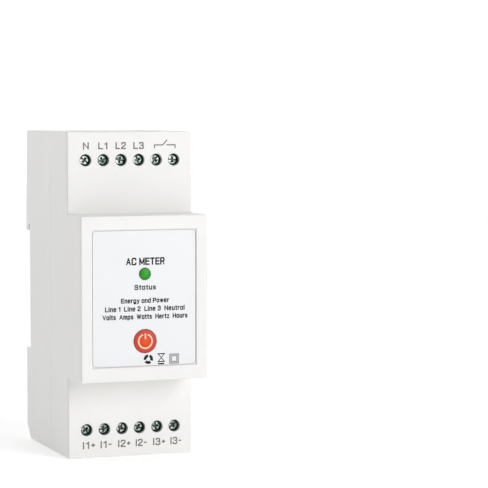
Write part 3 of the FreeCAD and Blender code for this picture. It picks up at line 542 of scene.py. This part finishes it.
def lettering(words):
    """Strokes of a line of words on the glyph grid, and how wide the line is."""
    strokes, at = [], 0.0
    for letter in words:
        if letter == " ":
            at += WORD_GAP
            continue
        width, *runs = GLYPHS[letter]
        for run in runs:
            pairs = (pair.split(",") for pair in run.strip("~@").split())
            points = [Vector((at + float(x), float(z))) for x, z in pairs]
            closed = run[0] == "@"
            if run[0] in "~@":
                points = rounded(points, closed)
            strokes.append((points, closed))
        at += width + LETTER_GAP
    return strokes, at - LETTER_GAP


def print_words(name, words, left, right, foot, cap, weight, depth, material, slot):
    """Lettering on the front face at a depth, stretched to fill left to right.

    The foot is the height of its base line, and cap and weight are the height of a capital and
    the width of a stroke, all in millimetres.
    """
    strokes, width = lettering(words)
    across, up = (right - left - weight) / width, (cap - weight) / CAP
    left, foot = left + weight / 2, foot + weight / 2
    placed = []
    for points, closed in strokes:
        points = [Vector((left + point.x * across, foot + point.y * up)) for point in points]
        placed += [(run, closed) for run in ([points] if closed else straight_legs(points))]
    draw(name, placed, weight, depth, material, slot, square=True)


def straight_legs(points):
    """Cut a run of points wherever it doubles back, so that each leg keeps its full weight."""
    runs = [points[:1]]
    for before, point, after in zip(points, points[1:], points[2:]):
        runs[-1].append(point)
        if (point - before).dot(after - point) < 0:
            runs.append([point])
    runs[-1].append(points[-1])
    return runs


def ribbon(points, width, closed):
    """Both edges of a flat line of constant width through 2-D points, mitred at its corners."""
    count, edges = len(points), []
    for index, point in enumerate(points):
        way_in = (point - points[index - 1]) if index or closed else points[1] - point
        way_out = points[(index + 1) % count] - point if index < count - 1 or closed else way_in
        way_in, way_out = way_in.normalized(), way_out.normalized()
        side = Vector((-(way_in + way_out).y, (way_in + way_out).x)).normalized()
        reach = width / 2 / max(LEAST_MITRE, side.dot(Vector((-way_in.y, way_in.x))))
        edges.append((point + side * reach, point - side * reach))
    return edges


def line_mesh(name, strokes, width, surface, square=False):
    """Closed thin strips along strokes of 2-D points, laid on a surface that gives Y at a point.

    Square strokes reach half their width past their open ends, but no further than half their
    width outside the box of their own points.
    """
    vertices, faces = [], []
    for layer, (points, closed) in enumerate(strokes):
        start, lift = len(vertices), INK_PROUD * (1 + INK_STEP * (layer % INK_LEVELS))
        limits = [(min(run) - width / 2, max(run) + width / 2) for run in zip(*points)]
        points = [Vector(point) for point in points]
        if square and not closed:
            points[0] += (points[0] - points[1]).normalized() * width / 2
            points[-1] += (points[-1] - points[-2]).normalized() * width / 2
        edges = ribbon(points, width, closed)
        for pair in edges:
            for side in pair:
                side = Vector(min(max(value, low), high)
                              for value, (low, high) in zip(side, limits))
                rest = surface(side.x, side.y)
                vertices += [(side.x, rest + INK_SUNK, side.y), (side.x, rest - lift, side.y)]
        count = len(edges)
        for index in range(count if closed else count - 1):
            a, b = start + 4 * index, start + 4 * ((index + 1) % count)
            faces += [(a + 1, b + 1, b + 3, a + 3), (a, a + 2, b + 2, b),
                      (a, b, b + 1, a + 1), (a + 2, a + 3, b + 3, b + 2)]
        if not closed:
            end = start + 4 * (count - 1)
            faces += [(start, start + 1, start + 3, start + 2), (end, end + 2, end + 3, end + 1)]
    mesh = bpy.data.meshes.new(name)
    mesh.from_pydata(vertices, [], faces)
    mesh.validate()
    return mesh


def arc(middle, radius, start, end, count):
    """Points along an arc, angles in degrees anticlockwise from +X."""
    turns = [math.radians(start + (end - start) * step / count) for step in range(count + 1)]
    return [(middle[0] + radius * math.cos(turn), middle[1] + radius * math.sin(turn))
            for turn in turns]


def draw(name, strokes, width, depth, material, slot, square=False):
    """Print strokes given in millimetres across and up on the flat front face at a depth."""
    scaled = [([(x * MM, z * MM) for x, z in points], closed) for points, closed in strokes]
    mesh = line_mesh(name, scaled, width * MM, lambda x, z: depth, square)
    add_piece(name, mesh, material, HOUSING)


# Each line's words, then its left, right, foot, capital height and stroke width.
LABEL_LINES = {
    "title_print": ("AC METER", -5.24, 5.79, 9.02, 2.0, 0.39),
    "status_print": ("Status", -2.85, 3.26, 2.3, 1.36, 0.29),
    "line_one_print": ("Energy and Power", -6.68, 7.02, -1.27, 1.3, 0.28),
    "line_two_print": ("Line 1  Line 2  Line 3  Neutral", -11.17, 11.47, -3.5, 1.34, 0.28),
    "line_three_print": ("Volts  Amps  Watts  Hertz  Hours", -11.91, 12.29, -5.66, 1.34, 0.28),
}


def print_label():
    """Everything printed on the front label."""
    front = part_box("label_plate")[0][1]
    black = ink("label_ink", (0.008, 0.010, 0.012))
    grey = ink("label_grey_ink", (0.27, 0.27, 0.28))
    for name, line in LABEL_LINES.items():
        print_words(name, *line, front, black, "label_film")
    print_icons(front, black, grey)


def print_icons(front, black, grey):
    """Three small plain pictograms at the foot of the label: arcs, an hourglass and squares."""
    arc_weight, glass_weight, bar_weight, square_weight = 0.78, 0.27, 0.38, 0.3
    middle, radius, first, last = (1.05, -16.65), 0.93, 94, 190
    loop = [(arc(middle, radius, first + turn, last + turn, 12), False) for turn in (0, 120, 240)]
    draw("loop_icon", loop, arc_weight, front, black, "label_film")
    left, right, low, high = 3.85, 5.65, -17.45, -15.3
    glass = [([(left, high), (right, high)], False), ([(left, low), (right, low)], False),
             ([(left, high), (right, low)], False), ([(right, high), (left, low)], False)]
    draw("glass_icon", glass, glass_weight, front, black, "label_film", square=True)
    bar_height = -18.05
    bar = [([(left - 0.05, bar_height), (right - 0.1, bar_height)], False)]
    draw("glass_bar", bar, bar_weight, front, black, "label_film")
    x, z = 8.42, -16.78
    squares = [([(x - half, z - half), (x + half, z - half),
                 (x + half, z + half), (x - half, z + half)], True) for half in (1.22, 0.8)]
    draw("double_square_icon", squares, square_weight, front, grey, "label_film")


MARK_WEIGHT, CONTACT_WEIGHT = 0.36, 0.32
TOP_FOOT, TOP_CAP = 40.12, 1.92
TOP_MARKS = {"N": (-13.44, -11.78), "L1": (-9.1, -6.5), "L2": (-4.15, -1.15), "L3": (0.97, 4.0)}
BOTTOM_LEFT, BOTTOM_FOOT, BOTTOM_CAP = -13.85, -42.4, 2.02
BOTTOM_MARKS = ("I1+", "I1-", "I2+", "I2-", "I3+", "I3-")
PLUS_WIDTH, MINUS_WIDTH = 3.6, 3.2


def print_terminal_marks():
    """Marks beside the screws on both terminal faces."""
    grey = ink("mark_ink", (0.185, 0.166, 0.156))
    finish = (TERMINAL_FACE, grey, "housing_plastic")
    for words, (left, right) in TOP_MARKS.items():
        print_words(f"mark_top_{words}", words, left, right, TOP_FOOT, TOP_CAP, MARK_WEIGHT,
                    *finish)
    contact = [([(7.1, 40.3), (7.1, 41.2), (9.48, 41.2), (10.8, 42.6)], False),
               ([(10.57, 41.22), (13.1, 41.22), (13.1, 40.3)], False)]
    draw("mark_top_contact", contact, CONTACT_WEIGHT, *finish)
    for index, words in enumerate(BOTTOM_MARKS):
        left = BOTTOM_LEFT + TERMINAL_PITCH * index
        right = left + (PLUS_WIDTH if words.endswith("+") else MINUS_WIDTH)
        print_words(f"mark_bottom_{index + 1}", words, left, right, BOTTOM_FOOT, BOTTOM_CAP,
                    MARK_WEIGHT, *finish)


def button_symbol():
    """Power symbol inlaid on the cap, following its crown: an open ring and an upright bar."""
    ring_radius, ring_start, ring_end, weight = 1.9, 110, 430, 0.42 * MM
    low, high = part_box("power_button")
    middle = Vector(((low[0] + high[0]) / 2, (low[2] + high[2]) / 2))
    dome = (CAP_RADIUS ** 2 + CAP_CROWN ** 2) / (2 * CAP_CROWN)

    def cap(x, z):
        away = (Vector((x, z)) - middle).length
        return low[1] + dome - math.sqrt(dome ** 2 - away ** 2)

    ring = [(x * MM + middle.x, z * MM + middle.y)
            for x, z in arc((0, 0), ring_radius, ring_start, ring_end, 60)]
    bar = [(middle.x, middle.y + up * MM) for up in (0.55, 0.95, 1.35, 1.75, 2.12)]
    mesh = line_mesh("power_symbol", [(ring, False), (bar, False)], weight, cap)
    add_piece("power_symbol", mesh, ink("symbol_ink", (0.90, 0.62, 0.46)), BUTTON)


def coil_spring(finish):
    """The rail clip's compression spring as a real coil whose end turns are nearly closed."""
    wire, turns, end_turns, end_pitch, per_turn = 0.25 * MM, 8.5, 0.9, 1.9, 28
    low, high = (Vector(corner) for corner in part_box("rail_clip_spring"))
    middle = (low + high) / 2
    radius = (high.x - low.x) / 2 - wire
    count = int(turns * per_turn)
    curve = bpy.data.curves.new("coil", "CURVE")
    curve.dimensions = "3D"
    curve.bevel_depth = wire
    curve.bevel_resolution = 4
    curve.use_fill_caps = True
    spline = curve.splines.new("POLY")
    spline.points.add(count)
    end_rise = wire * end_pitch
    open_rise = high.z - low.z - 2 * wire - 2 * end_rise
    for index, point in enumerate(spline.points):
        turn = index / per_turn
        share = min(max((turn - end_turns) / (turns - 2 * end_turns), 0.0), 1.0)
        ends = min(turn, end_turns) + max(turn - (turns - end_turns), 0.0)
        rise = end_rise * ends / end_turns + open_rise * share
        angle = 2 * math.pi * turn
        point.co = (middle.x + radius * math.cos(angle), middle.y + radius * math.sin(angle),
                    low.z + wire + rise, 1)
    holder = bpy.data.objects.new("coil", curve)
    bpy.context.collection.objects.link(holder)
    bpy.context.view_layer.update()
    mesh = bpy.data.meshes.new_from_object(holder)
    bpy.data.objects.remove(holder)
    for face in mesh.polygons:
        face.use_smooth = True
    spring = add_piece("clip_coil_spring", mesh, finish, HOUSING)
    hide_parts("rail_clip_spring")
    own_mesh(spring)


add_camera()
add_stage()
finishes = dress_frame()
print_label()
print_terminal_marks()
button_symbol()
coil_spring(finishes["spring_steel"])
